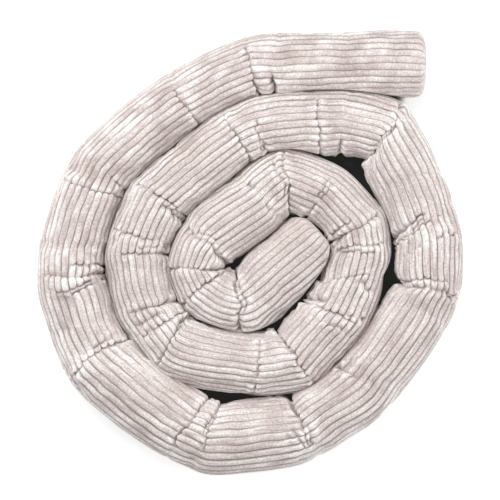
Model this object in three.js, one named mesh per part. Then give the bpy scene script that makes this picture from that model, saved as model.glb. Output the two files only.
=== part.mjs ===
// Crib bumper roll, lying coiled in a flat spiral.
//
// The roll is one long tube of wide-ribbed corduroy, filled firmly and closed at both ends. It lies
// on a flat surface and is wound inwards, always to its left, for a little over two and a half turns.
// A filled tube doesn't bend evenly: the cloth on the inner side of the bend is pushed into a crease,
// and the roll kinks there and stays nearly straight up to the next crease. So the roll is built as
// straight stretches that meet at folds. Each fold line is a vertical plane across the roll, and every
// other section turns gradually from one fold's plane to the next, which keeps each rib straight
// between two folds and lets it break at the fold as the real ribs do.
//
// Millimetres and degrees, +Z up. The origin is on the surface that the roll lies on, at the middle of
// its footprint.

import * as THREE from "three";

// The section of the filled roll. Its widths are in the table of folds.
const HALF_HEIGHT = 50; // before its weight flattens the underside
const UNDERSIDE_FLATTENING = 4;
const AXIS_HEIGHT = HALF_HEIGHT - UNDERSIDE_FLATTENING;

// How the roll lies along its length.
const START_HEADING = 181; // direction of the roll at its outer end, from +X towards +Y
const BEND_RADIUS = 700; // how gently a stretch between two folds curves to the left
const SWELL_LENGTH = 45; // distance from a fold in which the roll fills out to its full girth

// How two turns lie against each other.
const TURN_GAP = 2; // room left between them
const CONTACT_SOFTNESS = 2.5; // how softly a side that the next turn presses rounds off
const SAME_TURN_LENGTH = 200; // parts of the roll nearer than this, along it, are of the same turn

// The creases. Angles are round the section, from the inner side over the top.
const CREASE_SHOULDER = 6; // distance from the bottom of a crease to the top of its lips
const SHALLOW_CREASE = 4; // creases up to this depth are soft dents without lips
const CREASE_FADE = { before: 30, after: 10 }; // angles in which a crease runs out round its reach
const CREASE_INNER_SIDE = { from: -20, to: 45, share: 0.45 }; // packed cloth keeps it shallower here
const CREASE_UNDERSIDE = { from: -75, to: -25 }; // and it starts here, above the underside

// The closed ends.
const END_CROWN = 18; // how far the filled end swells beyond its rim
const END_SQUARENESS = 2.9; // 2 is a round end, and higher numbers are flatter with tighter corners
const END_LENGTH = 27; // length of roll at each end that is shaped by the end's own rings
const END_INSET = 36; // clearances are measured from a middle line that stops this far from each tip

// How finely the solid is faceted.
const SECTION_SIDES = 24;
const STATION_SPACING = 42;
const LARGEST_LIP_SHARE = 0.3; // the lips of a crease stay in this share of a short stretch
const END_RING_ANGLES = [24, 46, 68, 90]; // round the end's corner, from its tip to its rim
const CONTACT_SEARCH_STEPS = 16; // halvings in the search for the point where two turns meet

// The folds, from the outer end to the inner end, a row for each.
//   run    length of the roll's axis from the fold before, or from the tip of the outer end
//   inner  width of the filled roll along that length, from the axis to the inner side of the coil
//   outer  the same to the outer side, both before the next turn presses on them
//   turn   how far the axis turns to the left at the fold
//   lean   how far the fold line is turned, to the left, from the line that halves the bend
//   depth  depth of the crease over the top of the roll
//   reach  share of the roll's width that the crease crosses, starting from the inner side
//   pinch  how far the fold draws the inner side in
//   flat   how far a sharp bend flattens the outer side
//   push   how far the roll pushes the turn outside it back from the line halfway between them
const FOLDS = [
  { run: 239, inner: 51, outer: 52, turn: 5, lean: 0, depth: 6, reach: 0.5 },
  { run: 28, inner: 46, outer: 51, turn: 20, lean: -2, depth: 9, reach: 0.8 },
  { run: 123, inner: 46, outer: 50, turn: 14, lean: 2, depth: 9, reach: 0.8 },
  { run: 157, inner: 49, outer: 50, turn: 19, lean: 0, depth: 6, reach: 0.5 },
  { run: 40, inner: 49, outer: 49, turn: 15, lean: 4, depth: 12, reach: 1 },
  { run: 87, inner: 50, outer: 50, turn: 11, lean: 5, depth: 3, reach: 1 },
  { run: 26, inner: 50, outer: 52, turn: 6, lean: -2, depth: 9, reach: 0.5 },
  { run: 20, inner: 48, outer: 55, turn: 3, lean: -2, depth: 8, reach: 1, pinch: 2 },
  { run: 20, inner: 49, outer: 56, turn: 11, lean: 8, depth: 6, reach: 0.9 },
  { run: 66, inner: 54, outer: 54, turn: 10, lean: -6, depth: 3, reach: 1 },
  { run: 47, inner: 59, outer: 54, turn: 27, lean: -5, depth: 11, reach: 1, pinch: 2 },
  { run: 174, inner: 58, outer: 57, turn: 13, lean: 0, depth: 9, reach: 0.8, pinch: 2 },
  { run: 36, inner: 59, outer: 54, turn: 32, lean: -12, depth: 9, reach: 0.8, pinch: 5 },
  { run: 145, inner: 54, outer: 57, turn: 26, lean: 2, depth: 10, reach: 0.9, pinch: 8, flat: 2 },
  { run: 114, inner: 54, outer: 53, turn: 23, lean: 4, depth: 5, reach: 0.5, flat: 1 },
  { run: 178, inner: 55, outer: 51, turn: 34, lean: 0, depth: 11, reach: 1, pinch: 9, flat: 1 },
  { run: 82, inner: 52, outer: 52, turn: 13, lean: 13, depth: 9, reach: 0.8 },
  { run: 28, inner: 52, outer: 51, turn: 6, lean: 6, depth: 9, reach: 0.8 },
  { run: 63, inner: 59, outer: 49, turn: 8, lean: -4, depth: 3, reach: 0.6 },
  { run: 86, inner: 61, outer: 48, turn: 50, lean: 2, depth: 12, reach: 1, pinch: 8, push: 5 },
  { run: 67, inner: 50, outer: 51, turn: 14, lean: 2, depth: 4, reach: 0.3, push: 5 },
  { run: 44, inner: 53, outer: 51, turn: 4, lean: 3, depth: 8, reach: 0.8, push: 6 },
  { run: 83, inner: 53, outer: 51, turn: 19, lean: -5, depth: 4, reach: 0.4 },
  { run: 44, inner: 48, outer: 50, turn: 16, lean: -6, depth: 10, reach: 0.9, push: 4 },
  { run: 86, inner: 49, outer: 50, turn: 0, lean: -4, depth: 3, reach: 0.5, push: 3 },
  { run: 68, inner: 47, outer: 51, turn: 27, lean: 4, depth: 11, reach: 1, push: 3 },
  { run: 60, inner: 47, outer: 54, turn: 9, lean: 4, depth: 8, reach: 0.8, push: 1 },
  { run: 26, inner: 46, outer: 53, turn: 25, lean: 2, depth: 9, reach: 0.9, push: -2 },
  { run: 88, inner: 45, outer: 54, turn: 22, lean: -6, depth: 10, reach: 0.7, push: -1 },
  { run: 29, inner: 48, outer: 52, turn: 5, lean: -8, depth: 9, reach: 0.7, push: -2 },
  { run: 44, inner: 48, outer: 50, turn: 42, lean: 5, depth: 11, reach: 0.9 },
  { run: 129, inner: 47, outer: 51, turn: 17, lean: -8, depth: 3, reach: 0.5, push: -1 },
  { run: 58, inner: 50, outer: 52, turn: 41, lean: 12, depth: 10, reach: 0.9, pinch: 7, push: 1 },
  { run: 89, inner: 56, outer: 51, turn: 19, lean: 7, depth: 8, reach: 0.8, push: 3 },
  { run: 62, inner: 52, outer: 53, turn: 5, lean: 20, depth: 4, reach: 0.6, pinch: 5 },
  { run: 47, inner: 50, outer: 49, turn: 24, lean: 8, depth: 3, reach: 1, pinch: 1, flat: 2 },
  { run: 36, inner: 49, outer: 47, turn: 37, lean: 6, depth: 11, reach: 0.9 },
  { run: 76, inner: 51, outer: 44, turn: 26, lean: 2, depth: 5, reach: 0.6, flat: 2 },
  { run: 64, inner: 53, outer: 42, turn: 56, lean: -1, depth: 12, reach: 1, pinch: 6, push: 4 },
  { run: 55, inner: 57, outer: 47, turn: 0, lean: -1, depth: 4, reach: 0.5, push: 5 },
  { run: 110, inner: 65, outer: 44, turn: 34, lean: -6, depth: 10, reach: 1, flat: 9, push: 1 },
  { run: 50, inner: 54, outer: 36, turn: 48, lean: -6, depth: 9, reach: 0.9, pinch: 5, flat: 4, push: -3 },
  { run: 39, inner: 47, outer: 37, turn: 34, lean: -4, depth: 9, reach: 0.9, pinch: 2, flat: 2, push: -2 },
  { run: 69, inner: 50, outer: 43, turn: 70, lean: -3, depth: 12, reach: 1, pinch: 10, flat: 13 },
];
const LAST_STRETCH = { run: 176, inner: 56, outer: 51, push: -5 }; // up to the tip of the inner end

const radians = THREE.MathUtils.degToRad;
const { clamp, lerp, smoothstep } = THREE.MathUtils;

/** Unit vector in the floor plane that points `degrees` round from +X towards +Y. */
function heading(degrees) {
  return new THREE.Vector2(Math.cos(radians(degrees)), Math.sin(radians(degrees)));
}

/** Adds the middle and the half width of a section that reaches from its inner to its outer side. */
function measured(section) {
  const { axis, sideways, inner, outer } = section;
  const middle = axis.clone().addScaledVector(sideways, (inner - outer) / 2);
  return { ...section, middle, halfWidth: (inner + outer) / 2 };
}

/**
 * Walks the axis from fold to fold. Each corner holds its point, the length of roll up to it, the
 * sideways direction of its fold line, and the widths and crease there. The two tips count as corners
 * that turn by nothing.
 */
function layOutCorners() {
  const tip = { turn: 0, lean: 0, depth: 0, reach: 1 };
  const { inner, outer } = FOLDS[0];
  const rows = [{ ...tip, run: 0, inner, outer }, ...FOLDS, { ...tip, ...LAST_STRETCH }];
  const corners = [];
  const axis = new THREE.Vector2();
  let along = 0;
  let direction = START_HEADING;
  rows.forEach((fold, index) => {
    axis.addScaledVector(heading(direction), fold.run);
    along += fold.run;
    const next = rows[index + 1] ?? fold;
    const halfTurn = fold.turn / 2;
    const corner = {
      along,
      axis: axis.clone(),
      sideways: heading(direction + halfTurn + fold.lean + 90),
      inner: (fold.inner + next.inner) / 2 / Math.cos(radians(halfTurn)) - (fold.pinch ?? 0),
      outer: (fold.outer + next.outer) / 2 - (fold.flat ?? 0),
      nextInner: next.inner,
      nextOuter: next.outer,
      depth: fold.depth,
      reach: fold.reach,
      push: fold.push ?? 0,
      girth: 1,
      isTip: index === 0 || index === rows.length - 1,
    };
    corners.push(measured(corner));
    direction += fold.turn;
  });
  return corners;
}

/** How far the roll has filled out at a distance from a fold: 0 in the fold and 1 when full. */
function fullness(distance) {
  return 1 - (1 - clamp(distance / SWELL_LENGTH, 0, 1)) ** 2;
}

/** The section of the roll at a share of the stretch between two corners, as a vertical plane. */
function stationBetween(before, after, share) {
  const span = after.axis.clone().sub(before.axis);
  const length = span.length();
  const left = new THREE.Vector2(-span.y, span.x).normalize();
  const full = fullness(share * length) * fullness((1 - share) * length);
  const sideways = before.sideways.clone().lerp(after.sideways, share).normalize();
  const slant = sideways.dot(left); // a section that isn't square to the axis is wider by this
  const isStraight = before.isTip || after.isTip;
  const bow = isStraight ? 0 : (share * (1 - share) * length ** 2) / (2 * BEND_RADIUS);
  return measured({
    axis: before.axis.clone().lerp(after.axis, share).addScaledVector(left, -bow),
    sideways,
    inner: lerp(lerp(before.inner, after.inner, share), before.nextInner / slant, full),
    outer: lerp(lerp(before.outer, after.outer, share), before.nextOuter / slant, full),
    along: lerp(before.along, after.along, share),
    push: lerp(before.push, after.push, share),
    girth: 1, // share of the full section, which only the rings of an end draw in
    depth: 0,
    reach: 1,
  });
}

/** Stations along one stretch, without its two ends: the lips of the creases and what lies between. */
function stationsAlong(before, after) {
  const length = after.axis.distanceTo(before.axis);
  const lipBefore = before.depth > SHALLOW_CREASE ? CREASE_SHOULDER : 0;
  const lipAfter = after.depth > SHALLOW_CREASE ? CREASE_SHOULDER : 0;
  const first = Math.min(lipBefore / length, LARGEST_LIP_SHARE);
  const last = 1 - Math.min(lipAfter / length, LARGEST_LIP_SHARE);
  const steps = Math.max(1, Math.ceil(((last - first) * length) / STATION_SPACING));
  const stations = [];
  for (let step = 0; step <= steps; step++) {
    const share = lerp(first, last, step / steps);
    if (share > 0 && share < 1) stations.push(stationBetween(before, after, share));
  }
  return stations;
}

/**
 * Rings of a closed end, from its tip to its rim, in the first or the last stretch. Each is a smaller
 * copy of the roll's section.
 */
function stationsOfEnd(before, after) {
  const length = after.axis.distanceTo(before.axis);
  return END_RING_ANGLES.map((angle) => {
    const fromTip = END_CROWN * (1 - Math.cos(radians(angle)) ** (2 / END_SQUARENESS));
    const girth = Math.sin(radians(angle)) ** (2 / END_SQUARENESS);
    const share = before.along === 0 ? fromTip / length : 1 - fromTip / length;
    return { ...stationBetween(before, after, share), girth };
  });
}

/** The parts of the roll's middle line between two corners, which the clearances are measured from. */
function middleLineOf(corners) {
  const points = corners.map((corner) => corner.middle.clone());
  const last = points.length - 1;
  const drawIn = (tip, next) => tip.addScaledVector(next.clone().sub(tip).normalize(), END_INSET);
  drawIn(points[0], points[1]);
  drawIn(points[last], points[last - 1]);
  return corners.slice(1).map((after, index) => {
    const before = corners[index];
    return {
      start: points[index],
      span: points[index + 1].clone().sub(points[index]),
      along: (before.along + after.along) / 2,
      push: before.push,
      nextPush: after.push,
    };
  });
}

/** Distance from a point to one part of the middle line, and what the roll pushes back there. */
function measureFrom(part, point) {
  const offset = point.clone().sub(part.start);
  const share = clamp(offset.dot(part.span) / part.span.lengthSq(), 0, 1);
  const isOutside = part.span.cross(offset) < 0;
  const distance = offset.addScaledVector(part.span, -share).length();
  return { distance, push: isOutside ? lerp(part.push, part.nextPush, share) : 0 };
}

/**
 * How far a station can reach sideways before it meets the next turn. Two turns meet on the line
 * halfway between their middles, moved by what the inner of the two pushes the outer one back, and each
 * stops half of the gap short of it.
 */
function roomBeside(station, side, middleLine) {
  const isSameTurn = (part) => Math.abs(part.along - station.along) <= SAME_TURN_LENGTH;
  const sameTurn = middleLine.filter(isSameTurn);
  const otherTurns = middleLine.filter((part) => !isSameTurn(part));
  const ownPush = side < 0 ? station.push : 0;
  const clearanceFrom = (part, point) => {
    const { distance, push } = measureFrom(part, point);
    return distance + 2 * (part.along < station.along ? ownPush : -push);
  };
  let clear = 0;
  let blocked = station.halfWidth + CONTACT_SOFTNESS * 2;
  for (let step = 0; step < CONTACT_SEARCH_STEPS; step++) {
    const reach = (clear + blocked) / 2;
    const point = station.middle.clone().addScaledVector(station.sideways, side * reach);
    const own = Math.min(...sameTurn.map((part) => measureFrom(part, point).distance));
    const other = Math.min(...otherTurns.map((part) => clearanceFrom(part, point)));
    if (other - own >= TURN_GAP) clear = reach;
    else blocked = reach;
  }
  return clear;
}

/** A sideways distance, rounded off softly where it would run past the room that there is. */
function pressed(distance, room) {
  const over = distance - (room - CONTACT_SOFTNESS);
  return over <= 0 ? distance : room - CONTACT_SOFTNESS * Math.exp(-over / CONTACT_SOFTNESS);
}

/**
 * Share of a crease's depth at an angle round the section, from the inner side over the top. The
 * crease is deepest over the inner shoulder, shallower on the inner side itself, where the bend packs
 * the cloth, and it runs out at its reach and towards the underside.
 */
function creaseShare(angle, reach) {
  const end = THREE.MathUtils.radToDeg(Math.acos(1 - 2 * reach));
  const overTop = 1 - smoothstep(angle, end - CREASE_FADE.before, end + CREASE_FADE.after);
  const { from, to, share } = CREASE_INNER_SIDE;
  const fromInner = lerp(share, 1, smoothstep(angle, from, to));
  const fromUnder = smoothstep(angle, CREASE_UNDERSIDE.from, CREASE_UNDERSIDE.to);
  return overTop * fromInner * fromUnder;
}

/** Points of one ring, counted from the inner side over the top to the outer side and underneath. */
function ringPoints(station, middleLine) {
  const room = { 1: roomBeside(station, 1, middleLine), "-1": roomBeside(station, -1, middleLine) };
  return Array.from({ length: SECTION_SIDES }, (_, index) => {
    const turned = (360 * index) / SECTION_SIDES;
    const angle = turned > 270 ? turned - 360 : turned;
    const crease = station.depth * creaseShare(angle, station.reach);
    const acrossShare = Math.cos(radians(angle));
    const side = Math.sign(acrossShare) || 1;
    const wide = Math.abs(acrossShare) * (station.halfWidth * station.girth - crease);
    const reach = side * pressed(wide, room[side]);
    const rise = Math.sin(radians(angle)) * (HALF_HEIGHT * station.girth - crease);
    const plan = station.middle.clone().addScaledVector(station.sideways, reach);
    return new THREE.Vector3(plan.x, plan.y, Math.max(0, AXIS_HEIGHT + rise));
  });
}

/** Skins a row of rings and closes it at both ends onto a point. */
function skinRings(rings, firstTip, lastTip) {
  const sides = SECTION_SIDES;
  const points = [firstTip, ...rings.flat(), lastTip];
  const lastPoint = points.length - 1;
  const corner = (ring, side) => 1 + ring * sides + (side % sides);
  const faces = [];
  for (let side = 0; side < sides; side++) {
    faces.push(0, corner(0, side + 1), corner(0, side));
    faces.push(lastPoint, corner(rings.length - 1, side), corner(rings.length - 1, side + 1));
    for (let ring = 0; ring + 1 < rings.length; ring++) {
      const [a, b] = [corner(ring, side), corner(ring, side + 1)];
      const [c, d] = [corner(ring + 1, side + 1), corner(ring + 1, side)];
      faces.push(a, b, c, a, c, d);
    }
  }
  const geometry = new THREE.BufferGeometry();
  geometry.setAttribute("position", new THREE.Float32BufferAttribute(points.flatMap((p) => [...p]), 3));
  geometry.setIndex(faces);
  return geometry;
}

/** The whole coiled roll as one closed solid, centred over the origin. */
function rollGeometry() {
  const corners = layOutCorners();
  const last = corners.length - 1;
  const isClearOfEnds = ({ along }) => along > END_LENGTH && corners[last].along - along > END_LENGTH;
  const stations = stationsOfEnd(corners[0], corners[1]);
  for (let index = 0; index < last; index++) {
    const inStretch = stationsAlong(corners[index], corners[index + 1]);
    stations.push(...[corners[index], ...inStretch].filter(isClearOfEnds));
  }
  stations.push(...stationsOfEnd(corners[last - 1], corners[last]).reverse());
  const middleLine = middleLineOf(corners);
  const rings = stations.map((station) => ringPoints(station, middleLine));
  const tipPoint = ({ middle }) => new THREE.Vector3(middle.x, middle.y, AXIS_HEIGHT);
  const geometry = skinRings(rings, tipPoint(corners[0]), tipPoint(corners[last]));
  geometry.computeBoundingBox();
  const box = geometry.boundingBox;
  geometry.translate(-(box.min.x + box.max.x) / 2, -(box.min.y + box.max.y) / 2, -box.min.z);
  geometry.computeVertexNormals();
  return geometry;
}

const corduroy = new THREE.MeshStandardMaterial({ color: 0xcfc3bf, roughness: 0.95, metalness: 0 });

const bumperRoll = new THREE.Mesh(rollGeometry(), corduroy);
bumperRoll.name = "bumper_roll";

const part = new THREE.Group();
part.add(bumperRoll);

export default part;
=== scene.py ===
"""Looks of a crib bumper roll: a long stuffed tube of wide-ribbed corduroy, coiled in a flat spiral.

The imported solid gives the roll's place and size. Here one rectangle of corduroy is laid along the same
course and closed round it, and then gets what the cloth does: ribs that run along the roll, creases on
the inner side of each bend where the ribs butt against each other, small rucks, and a brushed pile.

Lengths are in millimetres and angles in degrees up to the finished mesh, which is in metres.
"""

import logging
import math
from collections.abc import Callable
from dataclasses import astuple, dataclass
from enum import Enum
from functools import cached_property, partial

import bmesh
import bpy
import numpy as np
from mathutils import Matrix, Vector


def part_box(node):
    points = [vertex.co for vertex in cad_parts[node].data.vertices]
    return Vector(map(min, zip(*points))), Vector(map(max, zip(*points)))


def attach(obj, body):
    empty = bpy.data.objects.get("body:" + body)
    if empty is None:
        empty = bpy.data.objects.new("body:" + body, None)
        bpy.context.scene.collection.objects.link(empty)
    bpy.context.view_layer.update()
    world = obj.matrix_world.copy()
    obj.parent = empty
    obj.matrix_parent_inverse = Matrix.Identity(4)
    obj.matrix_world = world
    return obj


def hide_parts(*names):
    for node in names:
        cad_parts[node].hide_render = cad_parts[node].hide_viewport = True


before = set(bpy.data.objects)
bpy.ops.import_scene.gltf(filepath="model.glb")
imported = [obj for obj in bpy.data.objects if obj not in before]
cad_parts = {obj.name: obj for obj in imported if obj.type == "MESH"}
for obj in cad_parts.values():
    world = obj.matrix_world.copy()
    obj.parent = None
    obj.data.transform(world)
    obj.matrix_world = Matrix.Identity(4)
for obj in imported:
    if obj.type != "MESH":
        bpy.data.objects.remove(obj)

MM = 0.001
ROLL_NODE = "bumper_roll"
ROLL_BODY = "root"
CLOTH_MAP = "cloth"
# attribute with painted highlight and shade for the pile: how far the cloth stands out or is dented
PAINTED_LIFT_SHADING = "stood"
FAR = 1e3
TINY = 1e-9

FROM = ("From Min", "From Max")
TO = ("To Min", "To Max")

Numbers = float | np.ndarray
Span = tuple[float, float]
AddNode = Callable[..., bpy.types.Node]

log = logging.getLogger("bumper_roll")


@dataclass(frozen=True)
class Fold:
    """One fold across the roll, where it kinks.

    run is the length of the axis from the fold before, inner and outer the roll's width along it from the
    axis to either side of the coil, turn how far the axis turns to the left, and lean how far the fold line
    is turned from the line that halves the bend. pinch is how far the fold draws the inner side in, flat
    how far a sharp bend flattens the outer side, and push how far the roll pushes the turn outside it back.
    """

    run: float
    inner: float
    outer: float
    turn: float
    lean: float
    pinch: float = 0.0
    flat: float = 0.0
    push: float = 0.0


FOLDS = (
    Fold(239, 51, 52, 5, 0),
    Fold(28, 46, 51, 20, -2),
    Fold(123, 46, 50, 14, 2),
    Fold(157, 49, 50, 19, 0),
    Fold(40, 49, 49, 15, 4),
    Fold(87, 50, 50, 11, 5),
    Fold(26, 50, 52, 6, -2),
    Fold(20, 48, 55, 3, -2, pinch=2),
    Fold(20, 49, 56, 11, 8),
    Fold(66, 54, 54, 10, -6),
    Fold(47, 59, 54, 27, -5, pinch=2),
    Fold(174, 58, 57, 13, 0, pinch=2),
    Fold(36, 59, 54, 32, -12, pinch=5),
    Fold(145, 54, 57, 26, 2, pinch=8, flat=2),
    Fold(114, 54, 53, 23, 4, flat=1),
    Fold(178, 55, 51, 34, 0, pinch=9, flat=1),
    Fold(82, 52, 52, 13, 13),
    Fold(28, 52, 51, 6, 6),
    Fold(63, 59, 49, 8, -4),
    Fold(86, 61, 48, 50, 2, pinch=8, push=5),
    Fold(67, 50, 51, 14, 2, push=5),
    Fold(44, 53, 51, 4, 3, push=6),
    Fold(83, 53, 51, 19, -5),
    Fold(44, 48, 50, 16, -6, push=4),
    Fold(86, 49, 50, 0, -4, push=3),
    Fold(68, 47, 51, 27, 4, push=3),
    Fold(60, 47, 54, 9, 4, push=1),
    Fold(26, 46, 53, 25, 2, push=-2),
    Fold(88, 45, 54, 22, -6, push=-1),
    Fold(29, 48, 52, 5, -8, push=-2),
    Fold(44, 48, 50, 42, 5),
    Fold(129, 47, 51, 17, -8, push=-1),
    Fold(58, 50, 52, 41, 12, pinch=7, push=1),
    Fold(89, 56, 51, 19, 7, push=3),
    Fold(62, 52, 53, 5, 20, pinch=5),
    Fold(47, 50, 49, 24, 8, pinch=1, flat=2),
    Fold(36, 49, 47, 37, 6),
    Fold(76, 51, 44, 26, 2, flat=2),
    Fold(64, 53, 42, 56, -1, pinch=6, push=4),
    Fold(55, 57, 47, 0, -1, push=5),
    Fold(110, 65, 44, 34, -6, flat=9, push=1),
    Fold(50, 54, 36, 48, -6, pinch=5, flat=4, push=-3),
    Fold(39, 47, 37, 34, -4, pinch=2, flat=2, push=-2),
    Fold(69, 50, 43, 70, -3, pinch=10, flat=13),
)
LAST_STRETCH = Fold(176, 56, 51, 0, 0, push=-5)


@dataclass(frozen=True)
class Crease:
    """One crease over the top of the roll, where the ribs butt against each other.

    along is its place on the axis, counted from the outer tip. start and end are the sideways places,
    from the axis towards the inner side of the coil, between which it runs. drift is how much further
    along it lies at its end than at its start, bow how far its middle bulges along, depth how deep it is,
    and lip how far the cloth before it rides over it, or with a minus sign the cloth after it.
    """

    along: float
    start: float
    end: float
    drift: float
    bow: float
    depth: float
    lip: float = 0.0


CREASES = (
    Crease(239, 60, 20, 0, 0, 9),
    Crease(268, 60, -32, 5, 3, 12, -3),
    Crease(388, 60, -16, 4, 0, 9, -3),
    Crease(549, 60, 28, 0, 0, 6, 3),
    Crease(584, 60, -40, 6, 0, 13, -5),
    Crease(675, 60, -48, 0, 0, 3.5),
    Crease(690, 40, 0, 6, 0, 3),
    Crease(702, 60, 12, 0, 0, 11, 3),
    Crease(719, 50, -38, 2, 2, 8, -2),
    Crease(733, 24, -36, 2, 3, 7, 2),
    Crease(744, 50, 2, 3, 0, 7, -2),
    Crease(800, -18, -52, 0, 0, 2.5),
    Crease(836, 30, -12, 7, 0, 5),
    Crease(849, 60, -16, -8, -3, 13, 5),
    Crease(853, -16, -52, 11, 0, 7, 4),
    Crease(1031, 60, -22, -13, 0, 9, -2),
    Crease(1058, 28, -12, 2, -2, 5),
    Crease(1065, 60, -16, 2, 0, 10, -4),
    Crease(1199, -4, -30, 8, 0, 5),
    Crease(1209, 60, -26, -2, 0, 14, -2),
    Crease(1217, -8, -30, -7, 0, 5),
    Crease(1322, 50, 26, 2, 0, 6),
    Crease(1335, 42, 0, 4, 0, 4.2),
    Crease(1467, 22, -44, 0, 0, 2.5),
    Crease(1499, 48, -44, 2, 0, 10),
    Crease(1512, 44, -24, 17, 0, 9, -3),
    Crease(1571, 22, -42, 4, 0, 5, 3),
    Crease(1594, 60, -22, 22, 0, 9, 3),
    Crease(1600, 36, 10, 5, 0, 6),
    Crease(1609, 60, 10, 8, 0, 9),
    Crease(1673, 45, -20, 0, 0, 3),
    Crease(1750, 30, -26, 2, 0, 5),
    Crease(1758, 60, -24, 3, 0, 11, -5),
    Crease(1761, -28, -46, 4, 0, 6),
    Crease(1827, 60, 36, 0, 0, 6),
    Crease(1868, 60, -30, -2, 0, 9, -3),
    Crease(1950, 60, 34, 0, 0, 7),
    Crease(1957, 36, -6, 0, 0, 5, 3),
    Crease(1996, 60, -34, 6, 0, 9, -3),
    Crease(2085, 28, -2, 2, 0, 4),
    Crease(2144, 60, -36, 2, -2, 10, 3),
    Crease(2156, 44, 16, -2, 0, 7),
    Crease(2210, 12, -44, -2, 0, 6, 2),
    Crease(2223, 36, 6, 10, 0, 6),
    Crease(2236, 60, -24, 0, 0, 10, 2),
    Crease(2322, 60, -24, 0, 0, 9),
    Crease(2338, 8, -26, 8, 0, 6),
    Crease(2353, 50, -34, 4, 0, 9, 4),
    Crease(2390, 60, -34, -4, -6, 9, -4),
    Crease(2525, 34, -44, 0, 0, 5, -2),
    Crease(2585, 60, -38, -4, 0, 10, -3),
    Crease(2654, 24, -34, 2, 0, 5, 2),
    Crease(2674, 60, -22, 4, 0, 9, -2),
    Crease(2681, -18, -36, 6, 0, 5),
    Crease(2687, 54, 30, 0, 0, 7),
    Crease(2720, -10, -36, 0, 0, 5),
    Crease(2729, 54, -18, 17, 0, 7, 5),
    Crease(2777, 28, -26, -2, 0, 8, 2),
    Crease(2788, 32, -30, 3, 0, 8, -2),
    Crease(2819, 60, -34, 1, 0, 9),
    Crease(2835, 54, 14, 2, 0, 7, -2),
    Crease(2889, 14, -14, 0, 0, 5),
    Crease(2897, 54, -16, 0, 0, 7, 2),
    Crease(2959, 60, -34, 0, 0, 9, 2),
    Crease(2971, 16, -24, 10, 0, 7),
    Crease(3014, 24, -24, 4, 0, 4.6),
    Crease(3117, 22, -14, 4, 0, 6),
    Crease(3125, 60, -16, 0, 0, 9),
    Crease(3175, 50, -30, 0, 0, 8, 2),
    Crease(3213, 50, -34, 0, 0, 8, 2),
    Crease(3283, 60, -28, 0, 0, 11),
    Crease(3292, 40, 0, 18, 0, 9),
)


@dataclass(frozen=True)
class Pucker:
    """A soft bump of the cloth, or with a minus sign a dent.

    along and beside are its place, half_run and half_span its half length along the roll and across it.
    """

    along: float
    beside: float
    half_run: float
    half_span: float
    height: float


PUCKERS = (
    Pucker(233, 6, 9, 12, 2.4),
    Pucker(243, -8, 8, 7, 1.6),
    Pucker(254, 20, 8, 24, 1.6),
    Pucker(541, 24, 6, 15, 2.6),
    Pucker(566, 0, 12, 40, -1.8),
    Pucker(689, 8, 9, 26, 1.8),
    Pucker(726, -8, 6, 30, 2.4),
    Pucker(800, -40, 14, 12, 1.8),
    Pucker(841, 4, 5, 26, 2.6),
    Pucker(940, 0, 6, 30, -1.2),
    Pucker(1043, 10, 10, 26, 1.8),
    Pucker(1056, -38, 9, 14, -2.0),
    Pucker(1205, -16, 6, 10, 2.2),
    Pucker(1268, 14, 6, 10, 1.5),
    Pucker(1285, -8, 22, 8, 1.6),
    Pucker(1329, 26, 8, 18, -2.0),
    Pucker(1467, -8, 5, 30, -1.2),
    Pucker(1506, 14, 5, 26, 1.8),
    Pucker(1545, -16, 16, 14, 1.8),
    Pucker(1567, 4, 5, 14, 1.6),
    Pucker(1747, 4, 6, 30, 1.8),
    Pucker(1990, 0, 10, 30, 1.4),
    Pucker(2135, -14, 8, 16, 1.8),
    Pucker(2150, 27, 5, 12, 2.0),
    Pucker(2222, -6, 8, 24, 2.2),
    Pucker(2230, 30, 6, 12, -2.2),
    Pucker(2336, 14, 9, 26, 2.8),
    Pucker(2372, 0, 9, 30, 1.2),
    Pucker(2556, 0, 20, 34, 1.4),
    Pucker(2664, 0, 8, 24, -1.6),
    Pucker(2716, 10, 8, 26, 1.6),
    Pucker(2783, 2, 5, 28, 2.4),
    Pucker(2827, 34, 6, 14, 2.2),
    Pucker(2893, 2, 4, 12, 2.0),
    Pucker(2965, -4, 6, 16, 2.0),
    Pucker(3013, 2, 6, 20, 2.0),
    Pucker(3121, 4, 5, 16, 2.2),
    Pucker(3150, 22, 14, 14, -1.6),
    Pucker(3194, 10, 10, 18, -1.6),
    Pucker(3288, 14, 5, 16, 2.0),
    Pucker(3306, 4, 8, 10, 1.8),
)


def heading(degrees: Numbers) -> np.ndarray:
    """Unit vectors in the floor plane.

    Args:
        degrees: Directions, from +X towards +Y.

    Returns:
        One row of x and y for each direction.
    """
    angle = np.radians(degrees)
    return np.stack([np.cos(angle), np.sin(angle)], axis=-1)


def unit(vectors: np.ndarray) -> np.ndarray:
    """The vectors brought to length 1."""
    return vectors / np.maximum(np.linalg.norm(vectors, axis=-1, keepdims=True), TINY)


def smoothstep(value: Numbers, low: Numbers, high: Numbers) -> Numbers:
    """Soft step.

    Args:
        value: Numbers to grade.
        low: Where the step starts.
        high: Where it ends.

    Returns:
        0 below low, 1 above high, and a smooth rise between.
    """
    share = np.clip((value - low) / (high - low), 0, 1)
    return share * share * (3 - 2 * share)


def lerp(start: Numbers, end: Numbers, share: Numbers) -> Numbers:
    """The value at a share of the way from start to end."""
    return start + (end - start) * share


def closed(grid: np.ndarray) -> np.ndarray:
    """The grid with its first column again after its last."""
    return np.concatenate([grid, grid[:, :1]], axis=1)


def run_along(points: np.ndarray) -> np.ndarray:
    """How far along its column each point of a grid lies."""
    steps = np.linalg.norm(np.diff(points, axis=0), axis=2)
    return np.concatenate([np.zeros((1, points.shape[1])), np.cumsum(steps, axis=0)])


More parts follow.
